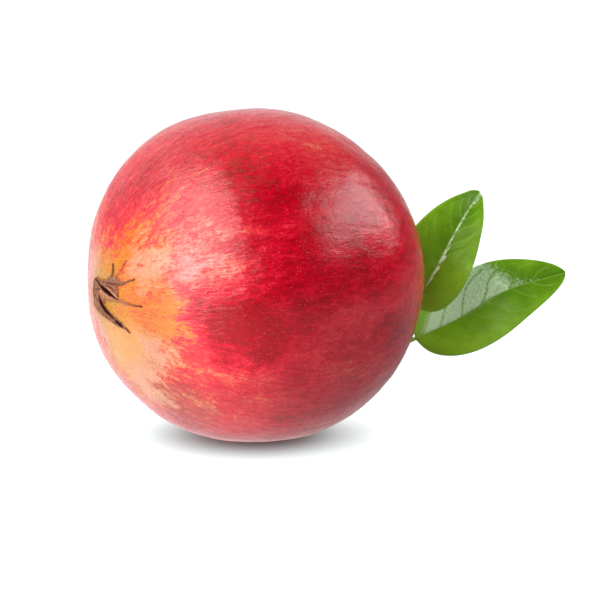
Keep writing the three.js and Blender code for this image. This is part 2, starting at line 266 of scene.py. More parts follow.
# How much red has ripened into the skin, by the share of the way from the calyx to the stalk
RIPENESS = [(0.0, 0.0), (0.07, 0.02), (0.1, 0.12), (0.15, 0.3), (0.2, 0.5), (0.28, 0.58), (0.42, 0.72),
            (0.7, 0.74), (0.9, 0.55), (1.0, 0.3)]
ripe = add_node(tree, "ShaderNodeValToRGB", {0: along_fruit}, stops=[(p, (v, v, v, 1)) for p, v in RIPENESS])
RIPER_PATCHES = [  # the way it lies, full to and none past (degrees), how much more red
    ((-0.83, -0.05, 0.56), 3, 18, 0.18),
    ((-0.93, -0.08, 0.34), 3, 13, 0.2),
    ((-0.96, 0.12, -0.24), 3, 11, 0.22),
    ((-0.8, -0.58, 0), 3, 17, -0.2),
    ((-0.85, -0.47, 0.24), 0, 9, -0.28),
    ((-0.72, -0.65, 0.25), 0, 8, -0.12),
    ((-0.58, -0.77, 0.24), 0, 9, -0.2),
    ((-0.9, -0.3, -0.32), 2, 16, -0.4),
    ((-0.77, -0.36, -0.52), 2, 10, -0.26),
    ((-0.94, 0.3, 0.16), 5, 19, 0.25),
    ((-0.61, -0.77, 0.16), 2, 9, 0.14),
    ((-0.6, -0.62, 0.48), 6, 24, -0.12),
    ((-0.1, -0.95, 0.28), 8, 30, 0.12),
    ((-0.42, -0.9, -0.14), 3, 14, 0.42),
    ((0.74, -0.66, 0.1), 12, 34, 0.12),
    ((-0.76, -0.64, -0.02), 2, 8, -0.22),
    ((-0.65, -0.75, -0.04), 3, 8, 0.24),
    ((-0.79, -0.54, -0.27), 2, 9, -0.26),
    ((-0.75, -0.22, -0.63), 2, 10, -0.22),
    ((-0.55, -0.76, 0.35), 3, 14, -0.12),
    ((0, -0.5, 0.87), 5, 18, -0.14),
    ((0.4, -0.35, 0.85), 6, 24, -0.06),
    ((-0.2, -0.65, 0.73), 5, 22, 0.1),
    ((0.2, -0.3, 0.93), 8, 34, -0.08),
    ((-0.45, -0.72, -0.52), 8, 26, -0.16),
    ((0.2, -0.95, -0.25), 5, 20, -0.14),
    ((0.25, 0.9, -0.3), 14, 46, -0.3),
    ((-0.5, 0.8, 0.3), 8, 30, 0.16),
]
ripe = add_patches(RIPER_PATCHES, ripe, torn_way, TORN_SOFTNESS)
# The streaks show most on the calyx's half
contrast = add_node(tree, "ShaderNodeMapRange", {
    "Value": along_fruit, "From Min": 0.12, "From Max": 0.45, "To Min": 1.35, "To Max": 0.95})
for name, depth in (("bands", 0.5), ("streaks", 0.6), ("fibres", 0.5), ("blotches", 0.45), ("mottle", 0.6)):
    away = add_node(tree, "ShaderNodeMath", {0: noises[name], 1: -0.5}, operation="ADD")
    away = add_node(tree, "ShaderNodeMath", {0: away, 1: contrast}, operation="MULTIPLY")
    ripe = add_node(tree, "ShaderNodeMath", {0: away, 1: depth, 2: ripe}, operation="MULTIPLY_ADD")
# The red over it, by how ripe it is
RED = [(0.2, "#cc5418"), (0.35, "#cc3f26"), (0.48, "#c82e34"), (0.6, "#c41e2e"), (0.72, "#b80a24"),
       (0.86, "#a60019"), (1.0, "#900012")]
red = add_node(tree, "ShaderNodeValToRGB", {0: ripe}, stops=[(p, linear(c)) for p, c in RED])
# The unripe ground under the red, by the share of the way from the calyx, and its own patches
GROUND = [(0.0, "#b27c08"), (0.08, "#b97a0a"), (0.14, "#c8701c"), (0.2, "#cc7a3c"), (0.3, "#d07c6c"),
          (0.42, "#d07c74")]
pale = add_node(tree, "ShaderNodeValToRGB", {0: along_fruit}, stops=[(p, linear(c)) for p, c in GROUND])
PALE_PATCHES = [
    ((-0.96, 0.08, -0.26), 2, 10, "#d09084"),
    ((-0.9, -0.3, -0.34), 3, 16, "#d08a48"),
    ((-0.77, -0.36, -0.52), 2, 12, "#d68d6c"),
    ((-0.79, -0.54, -0.27), 2, 10, "#d08a6c"),
    ((-0.8, -0.58, 0.0), 4, 15, "#c86c1c"),
    ((-0.85, -0.47, 0.24), 2, 9, "#c98a6c"),
    ((-0.6, -0.73, 0.3), 4, 15, "#d48488"),
    ((-0.94, 0.3, 0.16), 6, 20, "#d0908a"),
    ((1, 0.2, -0.2), 10, 40, "#b0702c"),
]
pale = add_patches(PALE_PATCHES, pale, torn_way, TORN_SOFTNESS)
reddened = add_node(tree, "ShaderNodeMapRange", {
    "Value": ripe, "From Min": 0.0, "From Max": 0.5, "To Min": 0.0, "To Max": 1.0},
    interpolation_type="SMOOTHSTEP")
colour = add_node(tree, "ShaderNodeMix", {"Factor": reddened, "A": pale, "B": red}, data_type="RGBA")

# Dusty brown russet, in specks, where the skin has been rubbed
RUSSET_BROWN = "#84402e"
RUSSET_PATCHES = [
    ((-0.33, -0.5, 0.78), 5, 22, 0.45),
    ((-0.62, -0.5, -0.6), 3, 16, 0.6),
    ((-0.75, -0.05, 0.65), 3, 14, 0.3),
    ((0.5, 0.4, 0.75), 8, 40, 0.3),
]
russet = add_patches(RUSSET_PATCHES, -0.25, torn_way)
for name, depth in (("mottle", 1.6), ("streaks", 0.8)):
    away = add_node(tree, "ShaderNodeMath", {0: noises[name], 1: -0.5}, operation="ADD")
    russet = add_node(tree, "ShaderNodeMath", {0: away, 1: depth, 2: russet}, operation="MULTIPLY_ADD")
russet = add_node(tree, "ShaderNodeMapRange", {
    "Value": russet, "From Min": 0.0, "From Max": 0.6, "To Min": 0.0, "To Max": 0.6})
colour = add_node(
    tree, "ShaderNodeMix", {"Factor": russet, "A": colour, "B": linear(RUSSET_BROWN)}, data_type="RGBA")

# Lenticels, the skin's breathing pores, are pale dots 0.3 mm wide and about 1 mm apart
PORE_SPACING = 1.1
PORE_PINK = "#d86a60"
pores = add_node(
    tree, "ShaderNodeTexVoronoi", {"Vector": way, "Scale": FRUIT_RADIUS / PORE_SPACING, "Randomness": 1.0})
size = add_node(tree, "ShaderNodeSeparateXYZ", {0: pores.outputs["Color"]})
dots = add_node(tree, "ShaderNodeMapRange", {
    "Value": pores.outputs["Distance"], "From Min": 0.06, "From Max": 0.2, "To Min": 0.55, "To Max": 0.0})
dots = add_node(tree, "ShaderNodeMath", {0: dots, 1: size.outputs["X"]}, operation="MULTIPLY")
colour = add_node(
    tree, "ShaderNodeMix", {"Factor": dots, "A": colour, "B": linear(PORE_PINK)}, data_type="RGBA")

# The underside and the stalk's side of the skin are a brighter red, partly the skin's own tone and partly
# painted light for the glow from the table below; a few places on the calyx's side are painted darker, as
# painted shade
TONE_AND_PAINTED_LIGHT_PATCHES = [
    ((-0.5, -0.83, -0.1), 6, 28, 0.38),
    ((-0.35, -0.8, -0.48), 10, 36, 0.42),
    ((0.6, -0.75, -0.2), 10, 50, 0.4),
    ((0.72, -0.62, 0.3), 8, 34, 0.5),
    ((-0.1, -0.93, 0.35), 8, 24, 0.18),
    ((-0.65, -0.24, 0.73), 4, 16, -0.16),
    ((0.4, -0.35, 0.85), 5, 20, 0.15),
    ((-0.92, 0.38, 0.08), 5, 22, -0.12),
    ((-0.53, -0.37, -0.76), 2, 12, -0.1),
]
# A brightness that scales the colour: the skin's own grain and tone, with painted light and painted shade in
# it
speckle_tone_and_painted_light = add_patches(TONE_AND_PAINTED_LIGHT_PATCHES, 0.98, way)
speckle = add_node(tree, "ShaderNodeMapRange", {
    "Value": noises["grain"], "From Min": 0.3, "From Max": 0.7, "To Min": 0.78, "To Max": 1.22})
speckle_tone_and_painted_light = add_node(tree, "ShaderNodeMath", {0: speckle_tone_and_painted_light, 1: speckle}, operation="MULTIPLY")
colour = add_node(tree, "ShaderNodeVectorMath", {0: colour, "Scale": speckle_tone_and_painted_light}, operation="SCALE")
feed(tree, shader.inputs["Base Color"], colour)

uneven_gloss = add_node(
    tree, "ShaderNodeMath", {0: noises["blotches"], 1: noises["mottle"]}, operation="ADD")
uneven_gloss = add_node(tree, "ShaderNodeMapRange", {
    "Value": uneven_gloss, "From Min": 0.7, "From Max": 1.3, "To Min": 0.15, "To Max": 0.31})
feed(tree, shader.inputs["Roughness"], uneven_gloss)
shader.inputs["IOR"].default_value = 1.48
# Lengthwise wrinkles up to 0.3 mm high on the calyx's side, and elsewhere only a fine pebbling
WRINKLE_HEIGHT = 0.28 * MM
wrinkled = add_node(tree, "ShaderNodeMapRange", {
    "Value": along_fruit, "From Min": 0.3, "From Max": 0.42, "To Min": 1.0, "To Max": 0.12})
height = add_node(tree, "ShaderNodeMath", {0: noises["wrinkles"], 1: wrinkled}, operation="MULTIPLY")
for name, depth in (("fibres", 0.2), ("mottle", 0.3)):
    height = add_node(
        tree, "ShaderNodeMath", {0: noises[name], 1: depth, 2: height}, operation="MULTIPLY_ADD")
bump = add_node(tree, "ShaderNodeBump", {"Strength": 1.0, "Distance": WRINKLE_HEIGHT, "Height": height})
feed(tree, shader.inputs["Normal"], bump)
rind.data.materials.append(waxy_rind)
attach(rind, "root")
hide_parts("fruit")


# ---- The dried calyx ----
# The flower's sepals, left on the fruit's end as a crown. They have dried, shrunk to curled strips
# and been pressed flat on the rind, with slits between them whose shade is painted dark maroon.

CALYX_TURN = math.radians(2.9)  # the crown sits a little to the -Y side of -X
# Laid out flat round the crown's pole: x is towards -Y and y is towards +Z, as seen facing it, in mm.
# Each sepal has points from root to tip, the width at each, its thickness, how far its edges curl up,
# and how tan it is.
SEPALS = {
    "throat": ([(-0.8, 3), (2, 2.1), (5, 1.8), (8, 1.2)], [1.6, 2.2, 1.9, 1], 0.4, 0, 0.3),
    "brow": ([(1.3, 2.9), (3.9, 3.2), (6.1, 4.3), (7.4, 5.8), (7.8, 7.3), (7.4, 8.9)],
             [1.0, 1.1, 1.1, 0.95, 0.75, 0.5], 0.9, 0.5, 0.3),
    "fine": ([(7, 4.3), (8.7, 5.4), (9.9, 6.5), (11.2, 7.9), (12.8, 10.9)],
             [1.2, 0.5, 0.3, 0.25, 0.2], 0.35, 0, 0.6),
    "upper": ([(1.6, 2.8), (5.5, 3.5), (8.6, 3.9), (11.3, 4.4), (13.3, 5.1), (15.1, 5.9), (16.9, 6.5)],
              [1.7, 2.0, 1.8, 0.9, 0.6, 0.5, 0.45], 0.85, 0.25, 0.35),
    "shoulder": ([(6, 4.6), (8.6, 5.2), (10.6, 4.9), (12.2, 4.4)], [1.2, 1.4, 1.2, 0.5], 0.6, 0.6, 0.25),
    "web": ([(3, 3.1), (6, 3.1), (8.2, 3), (9.8, 2.4), (10.7, 1.0)],
            [1.6, 2.1, 2.4, 1.9, 0.5], 0.8, 0.45, 0.5),
    "long": ([(1.7, 0.3), (3.4, 0.15), (5.1, 0), (7.6, -0.1), (9.9, -0.1), (12.1, -0.1), (16, -0.3),
              (19.9, -0.2)],
             [1.5, 2.4, 2.1, 1.3, 0.9, 0.7, 0.55, 0.5], 0.9, 0.3, 1),
    "heel": ([(2.4, -0.4), (3.1, -1.3), (3.9, -2.0)], [1.4, 1.0, 0.4], 0.5, 0.2, 0.7),
    "broad": ([(-0.7, -2.8), (2.3, -4.1), (5, -4.9), (8, -5.7), (10.2, -6.3), (12.4, -7), (13.4, -7.3),
               (14.5, -8.2)],
              [4, 3, 2.3, 1.9, 1.6, 0.8, 0.35, 0.25], 1.1, 0.35, 0.25),
    "lip": ([(-0.8, 3.6), (-1.2, 1.9), (-1.5, -0.5), (-1, -3)], [0.7, 3.4, 4.7, 4.3], 1.15, 0.3, 0.2),
}
# The slits between them, painted dark maroon as shade: points, and the width at each.
SLITS = [
    ([(-0.5, 3.3), (1.8, 2.3), (3.9, 1.8), (6, 1.4), (8.2, 0.95), (9.9, 0.5), (11.6, 0.1)],
     [0.2, 0.85, 1.15, 1.2, 0.95, 0.5, 0.1]),
    ([(0.8, -0.4), (1.7, -1.8), (2.9, -2.8), (4.3, -3.6), (6, -4.3), (7.7, -4.9), (9.3, -5.5)],
     [0.35, 0.75, 0.8, 0.75, 0.65, 0.5, 0.2]),
    ([(1.2, 0.9), (1.3, 0.3), (1.6, -0.4)], [0.2, 0.3, 0.25]),
    ([(9.8, -5.7), (11.2, -6.4), (12.4, -7)], [0.5, 0.8, 0.3]),
]
# Folds, where two sepals or the halves of one meet, with painted shade in a darker red-brown: points, and
# the width at each.
FOLDS = [
    ([(4.5, 3.7), (7, 3.75), (9.5, 4.0), (12, 4.5)], [0.2, 0.4, 0.35, 0.15]),
    ([(5.6, 3.0), (7.6, 2.7), (9.2, 2.3)], [0.2, 0.7, 0.4]),
    ([(4.8, 4.4), (6.4, 5.2), (7.2, 6.2)], [0.1, 0.3, 0.15]),
]
# Thin pale edges where a sepal has rolled over: points.
ROLLED_EDGES = [
    [(4.5, 2.45), (6.6, 2.1), (8.8, 1.35), (10.3, 0.75), (11.2, 0.2)],
    [(2, 0.95), (3.5, 1.0), (5.7, 0.75), (8, 0.4)],
]
SLIT_FLOOR = 0.3  # over the rind
FOLD_DEPTH = 0.25
EDGE_HEIGHT, EDGE_HALF_WIDTH = 0.22, 0.2
CREASE_LENGTH, CREASES = 4, 3.2  # creases to a sepal's length, and to a millimetre across it
CREASE_DEPTH = 0.35  # a share of the sepal's thickness
TAPER = 0.55  # how much of its thickness a sepal loses towards its tip
CLIFF = 2.2  # how steeply a sepal's edge falls away outside its outline
RAGGEDNESS, WAVERS = 0.12, 1.1  # how far the outlines waver, and how often to a millimetre
SEPAL_STEP = 0.1  # between the points of the sheet that the crown is shaped from
SHEET = (-6, 22, -10, 13)  # its reach on the flat layout
SHEET_EDGE = -0.35  # where a square of the sheet lies lower than this all over, it is left out
SHEET_UNDERSIDE = -0.9  # down in the rind
LINE_STEPS = 160


def even_curve(points, count):
    """A smooth curve through points, sampled at even shares of its points."""
    points = np.asarray(points, float).reshape(len(points), -1)
    last = len(points) - 1
    place = np.linspace(0, last, count)
    i = np.minimum(place.astype(int), last - 1)
    w = (place - i)[:, None]
    before, here = points[np.maximum(i - 1, 0)], points[i]
    there, after = points[i + 1], points[np.minimum(i + 2, last)]
    lead, trail = (there - before) / 2, (after - here) / 2
    return ((2 * here - 2 * there + lead + trail) * w**3
            + (-3 * here + 3 * there - 2 * lead - trail) * w**2 + lead * w + here)


def beside_line(spots, points, widths=None):
    """For each spot: its distance from a line, its share along it, and the line's half width there."""
    line = even_curve(points, LINE_STEPS)
    half = even_curve(widths, LINE_STEPS)[:, 0] / 2 if widths else np.zeros(LINE_STEPS)
    nearest = np.full(len(spots), 99.0)
    share, reach = np.zeros(len(spots)), np.ones(len(spots))
    for k, (centre, width) in enumerate(zip(line, half)):
        away = np.hypot(*(spots - centre).T)
        closer = away - width < nearest - reach
        nearest, share, reach = (
            np.where(closer, new, old)
            for new, old in ((away, nearest), (k / (LINE_STEPS - 1), share), (width, reach)))
    return nearest, share, reach


def over_calyx_end(spots, lift):
    """The places over the rind of spots on the flat layout, all in mm."""
    angle = np.hypot(*spots.T) / FRUIT_RADIUS
    bearing = np.arctan2(spots[:, 1], spots[:, 0])
    x, y = -np.cos(angle), -np.sin(angle) * np.cos(bearing)
    z = np.sin(angle) * np.sin(bearing)
    turned = np.stack([x * math.cos(CALYX_TURN) - y * math.sin(CALYX_TURN),
                       x * math.sin(CALYX_TURN) + y * math.cos(CALYX_TURN), z], 1)
    return turned * (rind_radius(turned) + lift)[:, None] + FRUIT_CENTRE


x_places = np.arange(SHEET[0], SHEET[1], SEPAL_STEP)
y_places = np.arange(SHEET[2], SHEET[3], SEPAL_STEP)
spots = np.stack(np.meshgrid(x_places, y_places, indexing="ij"), -1).reshape(-1, 2)
waver_x, waver_y = (roughly(np.c_[spots, np.full(len(spots), k)], WAVERS) for k in (0, 40))
ragged = spots + RAGGEDNESS * np.stack([waver_x, waver_y], 1)
height, tan, tips_and_fold_shade = np.full(len(spots), -9.0), np.zeros(len(spots)), np.zeros(len(spots))
for k, (points, widths, thick, curl, tanned) in enumerate(SEPALS.values()):
    away, share, half = beside_line(ragged, points, widths)
    # 1 on the sepal's middle line and 0 at its edges, which stand higher the more that they curl
    inside = np.maximum(1 - (away / half) ** 2, 0)
    creases = roughly(np.c_[share * CREASE_LENGTH + k * 9, away * CREASES, share * 0], 1)
    section = inside**0.35 * (1 - 0.7 * curl * inside**2) + CREASE_DEPTH * creases * inside
    rise = np.where(away > half, CLIFF * (half - away), thick * (1 - TAPER * share) * section)
    wins = rise > height
    height, tan, tips_and_fold_shade = (np.where(wins, new, old) for new, old in (
        (rise, height), (tanned, tan), (np.clip(share * 4 - 3, 0, 1), tips_and_fold_shade)))
slit_shade, pale = np.zeros(len(spots)), np.zeros(len(spots))
# Each slit sinks to a floor over the rind, and its shade is painted dark maroon
for points, widths in SLITS:
    away, _, half = beside_line(ragged, points, widths)
    cut = np.clip(1.5 - away / half, 0, 1)
    height = np.where(cut > 0, np.maximum(height, SLIT_FLOOR) * (1 - cut) + SLIT_FLOOR * cut, height)
    slit_shade = np.maximum(slit_shade, np.clip(cut * 1.6, 0, 1))
for points, widths in FOLDS:
    away, _, half = beside_line(ragged, points, widths)
    fold = np.clip(1.4 - away / half, 0, 1)
    height -= FOLD_DEPTH * fold
    # A fold takes the tips' darker red-brown, as painted shade
    tips_and_fold_shade = np.maximum(tips_and_fold_shade, fold)
for points in ROLLED_EDGES:
    away, share, _ = beside_line(ragged, points)
    edge = hill(away / EDGE_HALF_WIDTH) * np.sin(math.pi * np.clip(share, 0.03, 0.97)) ** 0.5
    height += EDGE_HEIGHT * edge
    pale = np.maximum(pale, edge)
columns = len(y_places)
a = (np.arange(len(x_places) - 1)[:, None] * columns + np.arange(columns - 1)).ravel()
squares = np.stack([a, a + columns, a + columns + 1, a + 1], 1)
squares = squares[height[squares].max(1) > SHEET_EDGE]
kept, squares = np.unique(squares, return_inverse=True)
squares = squares.reshape(-1, 4)
edges = np.concatenate([np.roll(squares, -k, 1)[:, :2] for k in range(4)])
twins = {(q, p) for p, q in edges.tolist()}
rim = [(p, q) for p, q in edges.tolist() if (p, q) not in twins]
n = len(kept)
top = over_calyx_end(spots[kept], np.maximum(height[kept], -0.5))
bottom = over_calyx_end(spots[kept], np.full(n, SHEET_UNDERSIDE))
calyx = add_piece(
    "dried_calyx", np.concatenate([top, bottom]),
    [*squares.tolist(), *(squares[:, ::-1] + n).tolist(), *((q, p, p + n, q + n) for p, q in rim)],
    {title: np.tile(values[kept], 2) for title, values in (
        ("slit_shade", slit_shade), ("pale", pale), ("tan", tan), ("tips_and_fold_shade", tips_and_fold_shade))})

# Dried sepal, grown and withered: matt and woody, mottled brown, with painted shade: dark maroon down in its
# slits, a darker red-brown in its folds.
dry_sepal, tree, shader = new_material("dried_sepal_woody")
whole = add_node(tree, "ShaderNodeTexCoord")
SEPAL_MOTTLE = 0.9 * MM
SEPAL_WRINKLES = 0.15 * MM
mottle = add_node(tree, "ShaderNodeTexNoise", {
    "Vector": whole.outputs["Object"], "Scale": 1 / SEPAL_MOTTLE, "Detail": 4, "Roughness": 0.7})
BROWN = [(0.32, "#43271e"), (0.45, "#644235"), (0.55, "#7e5948"), (0.7, "#927160")]
TAN = [(0.3, "#82482e"), (0.7, "#b07a5e")]
brown_hue, tan_hue = (
    add_node(tree, "ShaderNodeValToRGB", {0: mottle}, stops=[(p, linear(c)) for p, c in stops])
    for stops in (BROWN, TAN))
hue = add_node(tree, "ShaderNodeMix", {
    "Factor": add_node(tree, "ShaderNodeAttribute", attribute_name="tan").outputs["Fac"],
    "A": brown_hue, "B": tan_hue}, data_type="RGBA")
# tip: the sepals' own darker tips, and painted shade in the folds; pale: rolled edges; dark: painted shade
# in the slits
SEPAL_LAYERS = [("tips_and_fold_shade", "#6a2a24"), ("pale", "#c08a70"), ("slit_shade", "#240000")]  # one over the other
for title, layer in SEPAL_LAYERS:
    hue = add_node(tree, "ShaderNodeMix", {
        "Factor": add_node(tree, "ShaderNodeAttribute", attribute_name=title).outputs["Fac"],
        "A": hue, "B": linear(layer)}, data_type="RGBA")
feed(tree, shader.inputs["Base Color"], hue)
shader.inputs["Roughness"].default_value = 0.8
shader.inputs["Specular IOR Level"].default_value = 0.05
wrinkled = add_node(
    tree, "ShaderNodeBump", {"Strength": 0.5, "Distance": SEPAL_WRINKLES, "Height": mottle})
feed(tree, shader.inputs["Normal"], wrinkled)
calyx.data.materials.append(dry_sepal)
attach(calyx, "root")
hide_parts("calyx")


# ---- The stalk ----
# The end of the twig that the fruit hung from, two centimetres of woody shoot, cut off clean. It grew
# out of the fruit's end, and it bends down, with a swollen joint where each leaf grows.

STALK_POINTS = [  # from the fruit's centre
    (41.4, 12, -9.9), (44.4, 12.9, -11), (48.6, 14.9, -13.4), (50.7, 16.6, -18.1), (50.5, 16.8, -23.8),
    (49.3, 16.3, -28.3),
]
STALK_RADII = [2.5, 1.8, 1.5, 1.6, 1.4, 1.5]
STALK_ROWS = 120
STALK_SIDES = 40
BARK_LEVEL = 0.97  # shares of the radius: the bark between its ridges and grooves, and their height
GROOVE_DEPTH = 0.12
GROOVES_ALONG = 5  # along the whole stalk
GROOVES_ROUND = 4.16  # to the radius, so about 26 right round
LEAF_ROOTS = [(53.2, 17.9, -19.3), (51.7, 17.3, -27.6)]
# At each root the stalk swells past it by the bud's height, on a low wide joint
BUD_HEIGHT, BUD_REACH = 0.35, 0.75
JOINT_HEIGHT, JOINT_REACH = 0.14, 2
CURVE_STEPS = 200  # between two points of a curve
TAPER_STEPS = 400  # along the whole stalk
ACROSS_STALK = (0.3, -0.9, 0.2)  # the stalk never runs this way, so its rings are laid out by it


def flowing_curve(points, shares):
    """The curve through points, at shares of its length.

    Gives the places, the directions, the shares of the points passed there, and the whole length.
    """
    points = np.asarray(points, float)
    ends = np.concatenate([[2 * points[0] - points[1]], points, [2 * points[-1] - points[-2]]])
    fine = []
    for p0, p1, p2, p3 in zip(ends, ends[1:], ends[2:], ends[3:]):
        d0, d1, d2 = (np.linalg.norm(b - a) ** 0.5 for a, b in ((p0, p1), (p1, p2), (p2, p3)))
        lead = ((p1 - p0) / d0 - (p2 - p0) / (d0 + d1) + (p2 - p1) / d1) * d1
        trail = ((p2 - p1) / d1 - (p3 - p1) / (d1 + d2) + (p3 - p2) / d2) * d1
        w = np.linspace(0, 1, CURVE_STEPS, endpoint=False)[:, None]
        fine.append(p1 + lead * w + (-3 * p1 + 3 * p2 - 2 * lead - trail) * w**2
                    + (2 * p1 - 2 * p2 + lead + trail) * w**3)
    fine = np.concatenate([*fine, points[-1:]])
    length = np.concatenate([[0], np.cumsum(np.linalg.norm(np.diff(fine, axis=0), axis=1))])
    place = np.interp(shares, length / length[-1], np.arange(len(fine)))
    at = np.stack([np.interp(place, np.arange(len(fine)), fine[:, k]) for k in range(3)], 1)
    return at, unit(np.gradient(at, axis=0)), place / (len(fine) - 1), length[-1]


def ring_faces(rows, ring):
    """Quads between closed rings of points, and a flat end on each side."""
    a = np.arange(rows - 1)[:, None] * ring + np.arange(ring)
    b = np.arange(rows - 1)[:, None] * ring + (np.arange(ring) + 1) % ring
    sides = np.stack([a, b, b + ring, a + ring], -1).reshape(-1, 4)
    first = list(range(ring))
    last = [(rows - 1) * ring + k for k in range(ring)]
    return [*map(tuple, sides), tuple(first[::-1]), tuple(last)]


t = np.linspace(0, 1, STALK_ROWS)
middle, along, point_share, _ = flowing_curve(STALK_POINTS, t)
taper = even_curve(STALK_RADII, TAPER_STEPS)[:, 0]
radii = np.interp(point_share, np.linspace(0, 1, TAPER_STEPS), taper)
turn = np.linspace(0, 2 * math.pi, STALK_SIDES, endpoint=False)
side = unit(np.cross(along, ACROSS_STALK))
up = np.cross(side, along)
way = side[:, None] * np.cos(turn)[None, :, None] + up[:, None] * np.sin(turn)[None, :, None]
groove_place = np.stack(np.broadcast_arrays(
    t[:, None] * GROOVES_ALONG, GROOVES_ROUND * np.cos(turn), GROOVES_ROUND * np.sin(turn)), -1)
grooves = roughly(groove_place.reshape(-1, 3), 1).reshape(groove_place.shape[:2])
swollen = radii[:, None] * (BARK_LEVEL + GROOVE_DEPTH * grooves)
plain = (middle[:, None] + way * swollen[..., None]).reshape(-1, 3)
for root in LEAF_ROOTS:
    away = np.linalg.norm(plain - root, axis=1)
    beside = np.linalg.norm(plain - plain[away.argmin()], axis=1).reshape(swollen.shape)
    swollen += (away.min() + BUD_HEIGHT) * hill(beside / BUD_REACH)
    swollen += JOINT_HEIGHT * hill(beside / JOINT_REACH)
stalk_points = middle[:, None] + way * swollen[..., None] + FRUIT_CENTRE
stalk = add_piece("stalk_bark", stalk_points.reshape(-1, 3), ring_faces(STALK_ROWS, STALK_SIDES))

# Young pomegranate bark, grown: matt grey-brown with fine lengthwise cracks and a greenish cast.
young_bark, tree, shader = new_material("pomegranate_bark_matt")
whole = add_node(tree, "ShaderNodeTexCoord")
BARK_PATCHES = 1.5 * MM
CRACK_DEPTH = 0.2 * MM
patchy = add_node(tree, "ShaderNodeTexNoise", {
    "Vector": whole.outputs["Object"], "Scale": 1 / BARK_PATCHES, "Detail": 5, "Roughness": 0.65})
BARK = [(0.3, "#4a3a28"), (0.48, "#6f5a42"), (0.62, "#7f7448"), (0.75, "#a08c68")]
hue = add_node(tree, "ShaderNodeValToRGB", {0: patchy}, stops=[(p, linear(c)) for p, c in BARK])
feed(tree, shader.inputs["Base Color"], hue)
shader.inputs["Roughness"].default_value = 0.8
cracks = add_node(tree, "ShaderNodeBump", {"Strength": 0.6, "Distance": CRACK_DEPTH, "Height": patchy})
feed(tree, shader.inputs["Normal"], cracks)
stalk.data.materials.append(young_bark)
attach(stalk, "root")
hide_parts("stalk")


# ---- The leaves ----
# Two pomegranate leaves on the stalk, each a glossy blade with a channelled midrib. The side veins
# loop forward along the margin, and the blade swells a little between them.

BLADE_ROWS = 240
BLADE_COLUMNS = 110
ROW_CROWDING = 1.25  # over 1, the rows stand closer together towards the tip
COLUMN_CROWDING = 1.2  # over 1, the columns stand closer together beside the midrib
BLADE_THICKNESS = 0.6
MARGIN_THICKNESS = 0.3  # a share of the blade's
MARGIN_TAPER = 0.5  # from the margin in, the blade gains a whole thickness over this
SWELLING_HEIGHT, SWELLING_START = 0.13, 1.3  # between the side veins
CHANNEL_DEPTH, CHANNEL_HALF_WIDTH = 0.3, 0.5  # along the top of the midrib
CHANNEL_BELOW = 0.3  # how much of the channel's depth the underside follows
MIDRIB_HEIGHT, MIDRIB_HALF_WIDTH = 0.5, 0.9  # it stands out under the blade
PETIOLE_SHARE = 0.09
PETIOLE_HALF_WIDTH = 0.65
PETIOLE_THICKNESS = 1.2
TIP_HALF_WIDTH = 0.12
TIP_SHARE = 0.06
VEIN_STEPS = 70
# Half widths of the pale lines along the side veins, the midrib and the margin
SIDE_VEIN, MID_VEIN, MARGIN_LINE = 0.14, 0.18, 0.25
# The painted highlight, a pale patch in the colour where the lamps' gloss shows on a leaf:
PAINTED_GLOSS_START = 0.2  # beside the midrib it sets in over this
PAINTED_GLOSS_GAP = 0.3  # it is thin this near to a side vein
PAINTED_GLOSS_LEAN = 0.012  # its end leans forward as the side veins do, by this share to a millimetre
